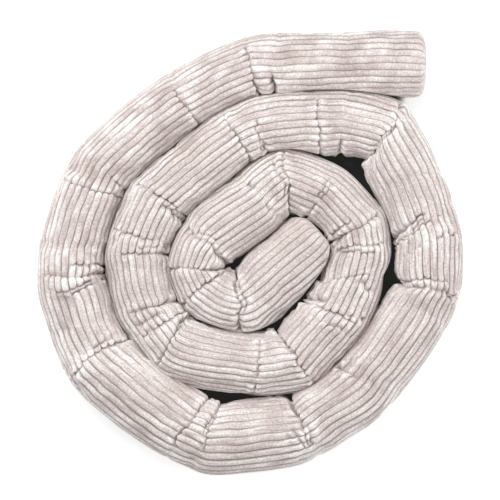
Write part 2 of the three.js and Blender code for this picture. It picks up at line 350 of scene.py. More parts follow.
def put_in_scene(shape: bmesh.types.BMesh, name: str) -> bpy.types.Object:
    """Makes an object of a shape.

    Args:
        shape: The shape, which is freed.
        name: The name of the object and of its mesh.

    Returns:
        The object, in the scene.
    """
    mesh = bpy.data.meshes.new(name)
    shape.to_mesh(mesh)
    shape.free()
    piece = bpy.data.objects.new(name, mesh)
    bpy.context.scene.collection.objects.link(piece)
    return piece


@dataclass(frozen=True)
class Grain:
    """One use of the cloth's unevenness.

    per_rib is how many cells of its lattice there are to a rib, and per_step to a millimetre along the
    roll, or to a crease. Ribs or creases that lie cells apart differ freely. start is the first cell, which
    keeps the uses apart.
    """

    per_rib: float
    per_step: float
    start: float = 0.0


class ClothNoise:
    """Smooth seeded unevenness over the cloth, from -1 to 1."""

    LATTICE = 512

    def __init__(self, seed: int) -> None:
        """Draws the lattice.

        Args:
            seed: The number that fixes it.
        """
        self.values = np.random.default_rng(seed).uniform(-1, 1, (self.LATTICE, self.LATTICE))

    def at(self, grain: Grain, across: Numbers, along: Numbers) -> np.ndarray:
        """Unevenness at places on the cloth.

        Args:
            grain: How it is read.
            across: Places across the cloth, in ribs.
            along: Places along it, or the number of a crease.

        Returns:
            One number for each place.
        """
        x, y = np.broadcast_arrays(across * grain.per_rib + grain.start, along * grain.per_step)
        column, row = np.floor(x).astype(int), np.floor(y).astype(int)
        u, v = smoothstep(x - column, 0, 1), smoothstep(y - row, 0, 1)
        size = self.LATTICE
        near, far = (
            lerp(*(self.values[(row + j) % size, (column + i) % size] for i in (0, 1)), u) for j in (0, 1)
        )
        return lerp(near, far, v)


class Side(Enum):
    """A side of the roll, by its sign along the direction towards the inside of the coil."""

    INNER = 1
    OUTER = -1


@dataclass(frozen=True)
class Corners:
    """The folds as corners of the axis, with what the roll measures at each and on the stretch after it."""

    point: np.ndarray
    run: np.ndarray
    along: np.ndarray
    inner: np.ndarray
    outer: np.ndarray
    next_inner: np.ndarray
    next_outer: np.ndarray
    sideways: np.ndarray
    push: np.ndarray


@dataclass(frozen=True)
class Stations:
    """Sections across the roll, one for each row of the cloth."""

    middle: np.ndarray
    offset: np.ndarray
    sideways: np.ndarray
    half_width: np.ndarray
    girth: np.ndarray
    along: np.ndarray
    push: np.ndarray

    @cached_property
    def from_tip(self) -> np.ndarray:
        """Distance of each section from the nearer end of the roll."""
        return np.minimum(self.along, self.along[-1] - self.along)


@dataclass(frozen=True)
class Course:
    """How the roll lies: its corners at the folds, and its section anywhere between them.

    bend_radius is that of the slight bow of a stretch, and swell_length how far from a fold the roll is
    full again. turn_gap is what two turns leave between them, negative as their piles mesh, and squeezing
    how far a side is past its room when its ribs start to flatten and when they are flat. end_crown is how
    far the closed ends round off, and end_inset how far from a tip the line stops that rooms are measured
    from.
    """

    start_heading: float = 181.0
    bend_radius: float = 700.0
    swell_length: float = 45.0
    half_height: float = 50.0
    axis_height: float = 46.0
    turn_gap: float = -1.6
    contact_softness: float = 1.0
    same_turn_length: float = 200.0
    end_crown: float = 18.0
    end_squareness: float = 2.9
    end_inset: float = 36.0
    contact_search_steps: int = 16
    squeezing: Span = (-1.5, 0.5)

    @cached_property
    def corners(self) -> Corners:
        """The corners, found by walking the axis from fold to fold."""
        rows = (Fold(0, FOLDS[0].inner, FOLDS[0].outer, 0, 0), *FOLDS, LAST_STRETCH)
        run, inner, outer, turn, lean, pinch, flat, push = np.array([astuple(row) for row in rows], float).T
        direction = self.start_heading + np.cumsum(turn) - turn
        next_inner, next_outer = np.append(inner[1:], inner[-1]), np.append(outer[1:], outer[-1])
        return Corners(
            point=np.cumsum(heading(direction) * run[:, None], axis=0),
            run=run,
            along=np.cumsum(run),
            inner=(inner + next_inner) / 2 / np.cos(np.radians(turn / 2)) - pinch,
            outer=(outer + next_outer) / 2 - flat,
            next_inner=next_inner,
            next_outer=next_outer,
            sideways=heading(direction + turn / 2 + lean + 90),
            push=push,
        )

    @property
    def stretches(self) -> int:
        """How many straight stretches the roll has."""
        return len(self.corners.run) - 1

    def fullness(self, distance: np.ndarray) -> np.ndarray:
        """How far the roll has filled out at a distance from a fold: 0 in the fold and 1 when full."""
        return 1 - (1 - np.clip(distance / self.swell_length, 0, 1)) ** 2

    def stations(self, stretch: np.ndarray, share: np.ndarray, end_angle: np.ndarray) -> Stations:
        """Sections at shares of the stretches.

        Args:
            stretch: Index of each section's stretch.
            share: Share of the stretch, from its outer corner to its inner one.
            end_angle: Angle round the corner of a closed end, 90 where the roll has its full girth.

        Returns:
            The sections, as vertical planes.
        """
        c = self.corners
        before, after, part = stretch, stretch + 1, share[:, None]
        span = c.point[after] - c.point[before]
        length = np.linalg.norm(span, axis=1)
        left = np.stack([-span[:, 1], span[:, 0]], axis=1) / length[:, None]
        full = self.fullness(share * length) * self.fullness((1 - share) * length)
        sideways = unit(lerp(c.sideways[before], c.sideways[after], part))
        slant = np.sum(sideways * left, axis=1)
        inner, outer = (
            lerp(lerp(corner[before], corner[after], share), wide[before] / slant, full)
            for corner, wide in ((c.inner, c.next_inner), (c.outer, c.next_outer))
        )
        is_end = (stretch == 0) | (stretch == self.stretches - 1)
        bow = np.where(is_end, 0, share * (1 - share) * length**2 / (2 * self.bend_radius))
        axis = lerp(c.point[before], c.point[after], part) - left * bow[:, None]
        return Stations(
            middle=axis + sideways * ((inner - outer) / 2)[:, None],
            offset=(inner - outer) / 2,
            sideways=sideways,
            half_width=(inner + outer) / 2,
            girth=np.sin(np.radians(end_angle)) ** (2 / self.end_squareness),
            along=lerp(c.along[before], c.along[after], share),
            push=lerp(c.push[before], c.push[after], share),
        )

    def middle_line(self) -> np.ndarray:
        """The corners' middles, with both tips drawn in, which the clearances are measured from."""
        c = self.corners
        points = c.point + c.sideways * ((c.inner - c.outer) / 2)[:, None]
        for tip, neighbour in ((0, 1), (-1, -2)):
            points[tip] += unit(points[neighbour] - points[tip]) * self.end_inset
        return points

    def room_beside(self, stations: Stations, side: Side) -> np.ndarray:
        """How far each section reaches before it meets the next turn.

        Args:
            stations: The sections.
            side: The side to look on.

        Returns:
            A distance for each section, half of the gap short of the line where the two turns meet.
        """
        line, along, push = self.middle_line(), self.corners.along, self.corners.push
        start, span = line[:-1], np.diff(line, axis=0)
        part_along = (along[:-1] + along[1:]) / 2
        is_same_turn = np.abs(part_along - stations.along[:, None]) <= self.same_turn_length
        is_inside = part_along < stations.along[:, None]
        own_push = stations.push[:, None] * (side is Side.OUTER)
        clear = np.zeros(len(stations.along))
        blocked = stations.half_width + self.contact_softness * 2
        for _ in range(self.contact_search_steps):
            reach = (clear + blocked) / 2
            place = stations.middle + stations.sideways * (side.value * reach)[:, None]
            offset = place[:, None, :] - start
            share = np.clip(np.sum(offset * span, axis=2) / np.sum(span**2, axis=1), 0, 1)
            distance = np.linalg.norm(offset - span * share[..., None], axis=2)
            is_outside = span[:, 0] * offset[..., 1] < span[:, 1] * offset[..., 0]
            pushed = np.where(is_inside, own_push, -lerp(push[:-1], push[1:], share) * is_outside)
            own = np.where(is_same_turn, distance, np.inf).min(axis=1)
            other = np.where(is_same_turn, np.inf, distance + 2 * pushed).min(axis=1)
            is_clear = other - own >= self.turn_gap
            clear = np.where(is_clear, reach, clear)
            blocked = np.where(is_clear, blocked, reach)
        return clear

    def room(self, stations: Stations, angle: np.ndarray) -> np.ndarray:
        """How far the roll may reach to the side that each angle round each section is on."""
        inner, outer = (self.room_beside(stations, side)[:, None] for side in Side)
        return np.where(np.cos(np.radians(angle)) >= 0, inner, outer)

    def surface(self, stations: Stations, angle: np.ndarray) -> np.ndarray:
        """Points of the filled roll, before its creases.

        Args:
            stations: The sections, one for each row.
            angle: Angles round each section, a row for each. 0 is the inner side, 90 the top.

        Returns:
            x, y and z for each row and angle.
        """
        cosine, sine = np.cos(np.radians(angle)), np.sin(np.radians(angle))
        wide = np.abs(cosine) * (stations.half_width * stations.girth)[:, None]
        limit = self.room(stations, angle) - self.contact_softness
        over = np.maximum(wide - limit, 0)
        softened = limit + self.contact_softness * (1 - np.exp(-over / self.contact_softness))
        reach = np.sign(cosine) * np.where(wide > limit, softened, wide)
        plan = stations.middle[:, None, :] + stations.sideways[:, None, :] * reach[..., None]
        rise = self.axis_height + sine * self.half_height * stations.girth[:, None]
        return np.concatenate([plan, np.maximum(rise, 0)[..., None]], axis=2)


@dataclass(frozen=True)
class CornerEasing:
    """How far the roll's corners are eased along it: most over its outer side, and not at its tips.

    rising and falling are the angles between which the outer side counts in full, and off_tip is the
    distance from a tip over which the easing starts.
    """

    least: float = 1.5
    most: float = 3.6
    rising: Span = (20.0, 150.0)
    falling: Span = (210.0, 260.0)
    off_tip: Span = (30.0, 60.0)

    def eased(self, surface: np.ndarray, stations: Stations, angle: np.ndarray) -> np.ndarray:
        """The filled roll with its corners eased.

        Args:
            surface: Its points, by row and column.
            stations: The rows' sections.
            angle: Each column's angle round the section.

        Returns:
            The points moved.
        """
        result, along = surface.copy(), stations.along
        over_side = smoothstep(angle, *self.rising) * (1 - smoothstep(angle, *self.falling))
        weight = np.gradient(along)
        for column, width in enumerate(np.maximum(self.least, self.most * over_side)):
            kernel = np.exp(-(((along[:, None] - along[None, :]) / width) ** 2) / 2) * weight[None, :]
            kernel /= kernel.sum(axis=1, keepdims=True)
            result[:, column] = kernel @ surface[:, column]
        share = smoothstep(stations.from_tip, *self.off_tip)[:, None, None]
        return np.where((stations.girth < 1)[:, None, None], surface, lerp(surface, result, share))


class RibDetail(Enum):
    """Where across a rib the cloth gets its samples, as shares of the rib."""

    FINE = (0.0, 0.16, 0.5, 0.84)
    PLAIN = (0.0, 0.5)


@dataclass(frozen=True)
class Ribs:
    """The wales of the corduroy, which run along the roll.

    fine is the range of angles that has the finer samples. wander is how far a rib strays sideways, in
    ribs, by weighted grains, and off_seam the ribs over which it starts beside the seam. opening is how much
    deeper the grooves are over the outer side, ruffled_height what a crease adds, and flattening the share
    that the next turn takes. off_end is the share of girth over which the ribs start at a closed end, and
    rising and falling are the angles over which they start and stop beside the floor.
    """

    count: int = 28
    height: float = 3.5
    squareness: float = 2.3
    tip_length: float = 7.5
    fine: Span = (-42.0, 222.0)
    wander: float = 0.2
    wander_grains: tuple[tuple[float, Grain], ...] = (
        (1.0, Grain(1 / 5, 1 / 60)),
        (0.5, Grain(1 / 5, 2.1 / 60, 60)),
        (0.35, Grain(1 / 5, 4 / 60, 200)),
    )
    off_seam: Span = (0.0, 2.0)
    unevenness: float = 0.6
    height_grain: Grain = Grain(3.7, 1 / 40)
    opening: float = 0.35
    ruffled_height: float = 0.8
    flattening: float = 0.75
    off_end: Span = (0.66, 0.93)
    rising: Span = (-60.0, -20.0)
    falling: Span = (200.0, 240.0)

    def positions(self) -> np.ndarray:
        """Columns of the cloth, counted in ribs from the underside up the inner side."""
        places = []
        for rib in range(self.count):
            is_fine = self.fine[0] <= self.angle(rib + 0.5) <= self.fine[1]
            detail = RibDetail.FINE if is_fine else RibDetail.PLAIN
            places += [rib + share for share in detail.value]
        return np.array([*places, self.count])

    def angle(self, position: Numbers) -> Numbers:
        """Angle round the section of a place counted in ribs, from -90 at the underside."""
        return 360 * position / self.count - 90

    def crown(self, position: np.ndarray, from_crease: np.ndarray) -> np.ndarray:
        """Height of the pile, as a share of the full rib.

        Args:
            position: Place across the cloth, in ribs.
            from_crease: Distance along the rib from the nearest crease.

        Returns:
            1 along the middle of a rib, falling to 0 in the grooves and round the rib's tip.
        """
        across = np.abs(2 * (position - np.floor(position)) - 1) ** self.squareness
        tip = np.clip(1 - from_crease / self.tip_length, 0, 1) ** 2
        return np.sqrt(np.clip(1 - across - tip, 0, 1))


@dataclass(frozen=True)
class CreaseShape:
    """How the cloth lies in a crease and beside it.

    A crease at least sharp_from deep is sharp. It fades in and out over angles round the section, with a
    share of its depth over the inner side and, from there to top_from, over the top. Patches weaken it on
    single ribs. stagger shifts its line from rib to rib, stray within them, and scallop round each rib's
    tip, over the angles of scalloped. The pile rounds off at a rib's tip where the crease is tip_depth
    deep, sooner or later by riding_tip and tucked_tip, and bulge raises the rib before it. Rucks and beads
    are the unevenness near a crease, across the ribs and rib by rib, and dips that of all the cloth.
    """

    sharp_from: float = 4.5
    sharp_width: float = 7.5
    soft_width: float = 15.0
    fade_in: float = 14.0
    fade_out: float = 16.0
    inner_side: Span = (-20.0, 45.0)
    inner_side_share: float = 0.45
    top_from: float = 125.0
    top_share: float = 0.48
    underside_end: float = -25.0
    patchiness: float = 0.7
    patch_middle: float = 0.4
    patch_least: float = 0.2
    patch_grain: Grain = Grain(5.1, 3.3, 33)
    stagger: float = 2.6
    stagger_grain: Grain = Grain(7.3, 5.7)
    stray: float = 3.5
    stray_grain: Grain = Grain(1 / 2.6, 9.1, 70)
    slide_length: float = 15.0
    slide_per_drift: float = 1.5
    slide_full_from: float = 0.4
    lip_length: float = 5.0
    scallop: float = 3.8
    scallop_length: float = 7.0
    scalloped: Span = (8.0, 35.0)
    tip_depth: float = 1.5
    riding_tip: float = 1.7
    tucked_tip: float = 0.8
    bulge: float = 2.8
    bulge_at: float = 7.0
    bulge_width: float = 5.0
    bulge_least: float = 0.6
    bulge_unevenness: float = 0.8
    bulge_grain: Grain = Grain(3.7, 1 / 60, 91)
    ruck: float = 1.7
    ruck_reach: float = 30.0
    ruck_grain: Grain = Grain(1 / 2.2, 1 / 12, 40)
    bead: float = 2.0
    bead_grain: Grain = Grain(3.7, 1 / 12, 17)
    dip: float = 1.1
    dip_grain: Grain = Grain(1 / 6, 1 / 34, 130)
    pucker_rim: Span = (-0.1, 0.2)
    influence: float = 60.0

    def profile(self, distance: np.ndarray, depth: float) -> np.ndarray:
        """How deep the cloth lies at a distance from a crease, as a share of the crease's depth.

        Args:
            distance: Distance along the ribs.
            depth: Depth of the crease, which says whether it is sharp.

        Returns:
            1 in the crease, falling to 0: with round lips in a sharp one and softly in a shallow one.
        """
        if depth < self.sharp_from:
            return 1 - smoothstep(distance, 0, self.soft_width)
        return 1 - np.sqrt(1 - (1 - np.clip(distance / self.sharp_width, 0, 1)) ** 2)

    def share(self, angle: np.ndarray, start: float, end: float) -> np.ndarray:
        """Share of a crease's depth round the section.

        Args:
            angle: Angles round the section.
            start: Angle at which the crease starts, on the inner side.
            end: Angle at which it ends, towards the outer side.

        Returns:
            1 where the crease is deepest, over the inner shoulder.
        """
        started = smoothstep(angle, start - self.fade_in, start)
        ended = smoothstep(angle, end, end + self.fade_out)
        packed = lerp(self.inner_side_share, 1, smoothstep(angle, *self.inner_side))
        eased = lerp(1, self.top_share, smoothstep(angle, self.inner_side[1], self.top_from))
        return started * (1 - ended) * packed * eased


@dataclass(frozen=True)
class RowSpacing:
    """How close the rows of the cloth are: fine in a crease and coarse between creases."""

    finest: float = 1.1
    growth: float = 0.36
    coarsest: float = 12.0
    end_rows: int = 14
    end_row_run: float = 18.0
    end_crowding: float = 1.5
    sampling: float = 0.5

    def shares(self, length: float, marks: np.ndarray) -> np.ndarray:
        """Places of the rows on one stretch.

        Args:
            length: The stretch's length.
            marks: Distances from its start at which the rows are finest.

        Returns:
            Shares of the stretch, from 0 up to but without 1.
        """
        place = np.arange(0, length + self.sampling / 2, self.sampling)
        nearest = np.abs(place[:, None] - marks).min(axis=1)
        spacing = np.clip(self.finest + self.growth * nearest, self.finest, self.coarsest)
        rows_before = np.append(0, np.cumsum(self.sampling / spacing[:-1]))
        count = max(2, round(rows_before[-1]))
        at_rows = np.linspace(0, rows_before[-1], count, endpoint=False)
        return np.interp(at_rows, rows_before, place / place[-1])


@dataclass(frozen=True)
class Stuffing:
    """The soft filling, which rounds the cloth out between its creases.

    Its work is found by a short cloth simulation on a coarse copy of the creased cloth. slack is the share
    by which the cloth gives, and furthest how far it moves at most. off_crease, off_floor and off_tip are
    the distances over which it comes free of a crease, the floor and the ends of the roll.
    """

    pressure: float = 4.0
    slack: float = 0.012
    frames: int = 20
    quality: int = 4
    row_spacing: float = 7.0
    furthest: float = 3.2
    off_crease: Span = (2.0, 9.0)
    off_floor: Span = (4.0, 22.0)
    off_tip: Span = (10.0, 30.0)
    least_hold: float = 0.01
    weld: float = 0.001

    def moves(
        self, points: np.ndarray, along: np.ndarray, position: np.ndarray, held: np.ndarray
    ) -> np.ndarray:
        """How far the filling moves the cloth.

        Args:
            points: The creased cloth, by row and column.
            along: Each row's place along the roll.
            position: Each column's place across the cloth, in ribs.
            held: How firmly each point is held, from 0 to 1.

        Returns:
            A move for each point, no further than the cloth gives.
        """
        marks = np.arange(along[0] + self.row_spacing, along[-1] - self.row_spacing / 2, self.row_spacing)
        rows = np.unique(np.searchsorted(along, marks))
        is_shared = np.isclose(position * 2 % 1, 0)
        columns = np.flatnonzero(is_shared)[:-1]
        coarse = points[np.ix_(rows, columns)]
        moves = closed(self._settled(coarse, held[np.ix_(rows, columns)]) - coarse)
        length = np.linalg.norm(moves, axis=2, keepdims=True)
        moves *= np.tanh(length / self.furthest) * self.furthest / np.maximum(length, TINY)
        row, column = (
            np.interp(place, marks, np.arange(len(marks)))
            for place, marks in ((along, along[rows]), (position, position[is_shared]))
        )
        return self._spread(moves, row, column)

    def _spread(self, moves: np.ndarray, row: np.ndarray, column: np.ndarray) -> np.ndarray:
        """Grades the coarse moves over the fine grid.

        Args:
            moves: The coarse moves, by row and column.
            row: Each fine row's place, in coarse rows.
            column: Each fine column's place, in coarse columns.

        Returns:
            A move for each point of the fine grid.
        """
        top = np.minimum(row.astype(int), moves.shape[0] - 2)
        left = np.minimum(column.astype(int), moves.shape[1] - 2)
        down, right = (row - top)[:, None, None], (column - left)[None, :, None]
        upper, lower = (
            lerp(moves[np.ix_(line, left)], moves[np.ix_(line, left + 1)], right) for line in (top, top + 1)
        )
        return lerp(upper, lower, down)

    def _tube(self, coarse: np.ndarray) -> tuple[bpy.types.Object, np.ndarray]:
        """Makes a tube of the coarse copy.

        Args:
            coarse: Points of the copy, by row and column.

        Returns:
            The tube, and the number of each of its vertices in the closed grid.
        """
        rows, columns = coarse.shape[:2]
        tube = bmesh.new()
        bmesh.ops.create_grid(tube, x_segments=columns, y_segments=rows - 1, size=0.5)
        number = tube.verts.layers.int.new("number")
        for index, (vertex, place) in enumerate(zip(tube.verts, closed(coarse).reshape(-1, 3) * MM)):
            vertex.co = place
            vertex[number] = index
        bmesh.ops.remove_doubles(tube, verts=tube.verts[:], dist=self.weld * MM)
        bmesh.ops.recalc_face_normals(tube, faces=tube.faces[:])
        holder = put_in_scene(tube, "settling")
        numbers = np.zeros(len(holder.data.vertices), int)
        holder.data.attributes["number"].data.foreach_get("value", numbers)
        return holder, numbers

    def _settled(self, coarse: np.ndarray, held: np.ndarray) -> np.ndarray:
        """Runs the simulation.

        Args:
            coarse: Points of the coarse copy, by row and column.
            held: How firmly each is held.

        Returns:
            Where they come to rest.
        """
        holder, numbers = self._tube(coarse)
        group = holder.vertex_groups.new(name="held")
        for index, share in enumerate(closed(held).reshape(-1)[numbers]):
            if share > self.least_hold:
                group.add([index], float(share), "REPLACE")
        cloth = holder.modifiers.new("settling", "CLOTH")
        cloth.settings.quality = self.quality
        cloth.settings.use_pressure = True
        cloth.settings.uniform_pressure_force = self.pressure
        cloth.settings.shrink_min = -self.slack
        cloth.settings.vertex_group_mass = group.name
        cloth.settings.effector_weights.gravity = 0
        cloth.point_cache.frame_end = self.frames
        scene = bpy.context.scene
        for frame_number in range(1, self.frames + 1):
            scene.frame_set(frame_number)
        places = np.zeros(3 * len(numbers))
        rested = holder.evaluated_get(bpy.context.evaluated_depsgraph_get())
        rested.data.vertices.foreach_get("co", places)
        scene.frame_set(1)
        mesh = holder.data
        bpy.data.objects.remove(holder)
        bpy.data.meshes.remove(mesh)
        result, columns = coarse.copy(), coarse.shape[1]
        row, column = np.divmod(numbers, columns + 1)
        result[row, column % columns] = places.reshape(-1, 3) / MM
        return result


class RolledCloth:
    """The rectangle of corduroy in its laid shape: a row for each section and a column for each rib line."""

    NOISE_SEED = 11

    def __init__(
        self,
        course: Course,
        easing: CornerEasing,
        ribs: Ribs,
        creasing: CreaseShape,
        spacing: RowSpacing,
        stuffing: Stuffing,
    ) -> None:
        """Lays the cloth.

        Args:
            course: How the roll lies.
            easing: How its corners are eased.
            ribs: The corduroy's wales.
            creasing: How the cloth lies in its creases.
            spacing: How close the rows are.
            stuffing: What fills it.
        """
        self.course, self.ribs, self.creasing, self.stuffing = course, ribs, creasing, stuffing
        self.unevenness = ClothNoise(self.NOISE_SEED)
        self.stations = course.stations(*self._rows(spacing))
        self.position = ribs.positions()
        self.angle = ribs.angle(self.position[None, :] + self._wander())
        surface = course.surface(self.stations, self.angle)
        self.base = easing.eased(surface, self.stations, self.angle.mean(axis=0))
        self.squeezed = self._squeezed()
        self.arc = run_along(self.base)
        self.points = self._dressed()

    def _rows(self, spacing: RowSpacing) -> tuple[np.ndarray, ...]:
        """Places the rows.

        Args:
            spacing: How close they are.

        Returns:
            Stretch, share and end angle of every row, from the outer tip to the inner one.
        """
        corners, rows = self.course.corners, []
        last = self.course.stretches - 1
        end_shares = np.linspace(0, 1, spacing.end_rows, endpoint=False) ** spacing.end_crowding
        from_tip = self.course.end_crown * end_shares
        end_angles = np.degrees(np.arccos((1 - end_shares) ** (self.course.end_squareness / 2)))
        marks = np.array([crease.along for crease in CREASES])
        for index in range(last + 1):
            length = corners.run[index + 1]
            for share in spacing.shares(length, marks - corners.along[index]):
                from_tips = share * length if index == 0 else (1 - share) * length
                if index not in (0, last) or from_tips > spacing.end_row_run:
                    rows.append((index, share, 90.0))
        first_length, last_length = corners.run[1], corners.run[-1]
        ends = list(zip(from_tip, end_angles))
        head = [(0, place / first_length, angle) for place, angle in ends]
        tail = [(last, 1 - place / last_length, angle) for place, angle in reversed(ends)]
        return tuple(np.array(column) for column in zip(*head, *rows, *tail))

    def _wander(self) -> np.ndarray:
        """How far each rib strays sideways, in ribs. None does beside the seam under the roll."""
        along = self.stations.along[:, None]
        strays = sum(
            share * self.unevenness.at(grain, self.position[None, :], along)
            for share, grain in self.ribs.wander_grains
        )
        from_seam = np.minimum(self.position, self.ribs.count - self.position)
        return self.ribs.wander * strays * smoothstep(from_seam, *self.ribs.off_seam)

    def _squeezed(self) -> np.ndarray:
        """How flat the next turn presses the ribs, from 0 to 1."""
        wide = np.abs(np.cos(np.radians(self.angle))) * self.stations.half_width[:, None]
        return smoothstep(wide - self.course.room(self.stations, self.angle), *self.course.squeezing)

    def _dressed(self) -> np.ndarray:
        """The cloth with its creases, rib ends, puckers, rucks and ribs."""
        base = self.base
        rib_line = unit(np.gradient(base, axis=0))
        sunk, slide = np.zeros(base.shape[:2]), np.zeros(base.shape[:2])
        from_crease = np.full(base.shape[:2], FAR)
        for number, crease in enumerate(CREASES):
            self._press(number, crease, sunk, slide, from_crease)
        points = base + rib_line * slide[..., None] + self._inward() * sunk[..., None]
        points += self._filled_out(points, from_crease)
        normal = unit(np.cross(np.gradient(base, axis=1), rib_line))
        return points + normal * self._relief(from_crease)[..., None]

    def _filled_out(self, points: np.ndarray, from_crease: np.ndarray) -> np.ndarray:
        """How the stuffing moves the creased cloth, which its creases, the floor and the next turns hold.

        Args:
            points: The creased cloth.
            from_crease: Distance of each point from the nearest crease.

        Returns:
            A move for each point.
        """
        stuffing, stations = self.stuffing, self.stations
        in_crease = 1 - smoothstep(from_crease, *stuffing.off_crease)
        on_floor = 1 - smoothstep(points[..., 2], *stuffing.off_floor)
        at_tip = 1 - smoothstep(stations.from_tip, *stuffing.off_tip)
        held = np.maximum.reduce([in_crease, on_floor, self.squeezed, at_tip[:, None] + 0 * in_crease])
        moves = stuffing.moves(points, stations.along, self.position, held)
        length = np.linalg.norm(moves, axis=2)
        log.info("the stuffing moves the cloth by %.1f mm, at most %.1f mm", length.mean(), length.max())
        return moves * (1 - held)[..., None]

    def _press(
        self, number: int, crease: Crease, sunk: np.ndarray, slide: np.ndarray, from_crease: np.ndarray
    ) -> None:
        """Works one crease into the cloth.

        Args:
            number: The crease's number, which its unevenness follows.
            crease: The crease.
            sunk: How deep each point lies, which it deepens.
            slide: How far each point is moved along its rib, which it adds to.
            from_crease: Distance of each point from the nearest crease, which it brings up to date.
        """
        creasing, noise, along = self.creasing, self.unevenness, self.stations.along
        rib, row = np.floor(self.position), int(np.abs(along - crease.along).argmin())
        near = slice(*np.searchsorted(along, crease.along + creasing.influence * np.array([-1, 1])))
        signed = self.arc[near] - self.arc[row]
        distance = np.abs(signed)
        is_riding = signed * crease.lip < 0
        start, end = (self._angle_at(row, place) for place in (crease.start, crease.end))
        share = creasing.share(self.angle[row], start, end)
        patchy = creasing.patch_middle + noise.at(creasing.patch_grain, rib, number)
        share = share * np.clip(1 - creasing.patchiness * patchy, creasing.patch_least, 1)
        sunk[near] = np.maximum(sunk[near], crease.depth * share * creasing.profile(distance, crease.depth))
        if crease.depth >= creasing.sharp_from:
            tip = np.where(is_riding, creasing.riding_tip, creasing.tucked_tip) if crease.lip else 1.0
            tips = np.where(crease.depth * share > creasing.tip_depth, distance * tip, FAR)
            from_crease[near] = np.minimum(from_crease[near], tips)
        run = np.clip((self.angle[row] - max(start, 0)) / (end - max(start, 0)), 0, 1) - 0.5
        on_top = smoothstep(self.angle[row], *creasing.scalloped)
        line = crease.drift * run + crease.bow * (1 - 4 * run**2)
        line += creasing.stagger * on_top * noise.at(creasing.stagger_grain, rib, number)
        line += creasing.stray * on_top * noise.at(creasing.stray_grain, self.position, number)
        reach = max(creasing.slide_length, creasing.slide_per_drift * abs(crease.drift))
        share_of_line = smoothstep(share, 0, creasing.slide_full_from)
        slide[near] += share_of_line * line * np.exp(-((distance / reach) ** 2))
        from_lip = distance / creasing.lip_length
        slide[near] += np.where(is_riding, crease.lip * share_of_line * from_lip * np.exp(1 - from_lip), 0)
        fingertip = 1 - np.abs(2 * (self.position - rib) - 1) ** 2
        scallop = np.sign(crease.lip) * creasing.scallop * (fingertip - 0.5) * on_top
        slide[near] += share_of_line * scallop * np.exp(-((distance / creasing.scallop_length) ** 2))

    def _angle_at(self, row: int, place: float) -> float:
        """Angle round a row's section of a sideways place, counted from the axis."""
        stations = self.stations
        shift = place - stations.offset[row]
        if abs(shift) >= stations.half_width[row]:
            return self.creasing.underside_end if shift > 0 else 180.0
        return math.degrees(math.acos(shift / stations.half_width[row]))

    def _inward(self) -> np.ndarray:
        """Directions in each section's plane from the cloth to the middle of the roll."""
        cosine, sine = np.cos(np.radians(self.angle)), np.sin(np.radians(self.angle))
        plan = -self.stations.sideways[:, None, :] * cosine[..., None]
        return np.concatenate([plan, -sine[..., None]], axis=2)

    def _relief(self, from_crease: np.ndarray) -> np.ndarray:
        """How far the cloth stands out from the filled roll: its ribs, rib ends, puckers and rucks.

        Args:
            from_crease: Distance of each point from the nearest crease.

        Returns:
            A height for each point. The part from rib ends, puckers, rucks and beads is kept as the cloth's
            lift, which also gives the pile painted highlight and shade.
        """
        creasing, ribs, noise = self.creasing, self.ribs, self.unevenness
        position, along = self.position[None, :], self.stations.along[:, None]
        rib = np.floor(position)
        crown = ribs.crown(position, from_crease)
        near = np.exp(-from_crease / creasing.ruck_reach)
        ending = np.exp(-(((from_crease - creasing.bulge_at) / creasing.bulge_width) ** 2))
        bulges = creasing.bulge_unevenness * noise.at(creasing.bulge_grain, rib, along)
        lift = creasing.bulge * crown * ending * (creasing.bulge_least + bulges)
        lift += creasing.ruck * near * noise.at(creasing.ruck_grain, position, along)
        lift += self._puckers()
        # the lift, without the dips, is also kept as painted highlight and shade on the pile
        self.lift = lift + creasing.bead * near * noise.at(creasing.bead_grain, rib, along)
        lift = self.lift + creasing.dip * noise.at(creasing.dip_grain, position, along)
        opened = 1 + ribs.opening * np.clip(-np.cos(np.radians(self.angle)), 0, 1) ** 2
        uneven = ribs.unevenness * noise.at(ribs.height_grain, rib, along)
        height = ribs.height * opened + uneven + ribs.ruffled_height * near
        height = height * (1 - ribs.flattening * self.squeezed)
        off_end = smoothstep(self.stations.girth, *ribs.off_end)[:, None]
        relief = lift * (1 - self.squeezed) + (crown - 1) * height * off_end
        return relief * smoothstep(self.angle, *ribs.rising) * (1 - smoothstep(self.angle, *ribs.falling))

    def _puckers(self) -> np.ndarray:
        """Height of the soft bumps and dents."""
        stations, angle = self.stations, np.radians(self.angle)
        beside = stations.offset[:, None] + np.cos(angle) * stations.half_width[:, None]
        height = np.zeros(beside.shape)
        for pucker in PUCKERS:
            run = (stations.along[:, None] - pucker.along) / pucker.half_run
            span = (beside - pucker.beside) / pucker.half_span
            height += pucker.height * np.exp(-(run**2) - span**2)
        return height * smoothstep(np.sin(angle), *self.creasing.pucker_rim)


def linear(colour: str) -> tuple[float, float, float, float]:
    """Turns an sRGB hex colour to linear.

    Args:
        colour: Such as "#d6cac6".

    Returns:
        Red, green, blue and an alpha of 1.
    """
    channels = [int(colour[i : i + 2], 16) / 255 for i in (1, 3, 5)]
    return (*[c / 12.92 if c <= 0.04045 else ((c + 0.055) / 1.055) ** 2.4 for c in channels], 1.0)


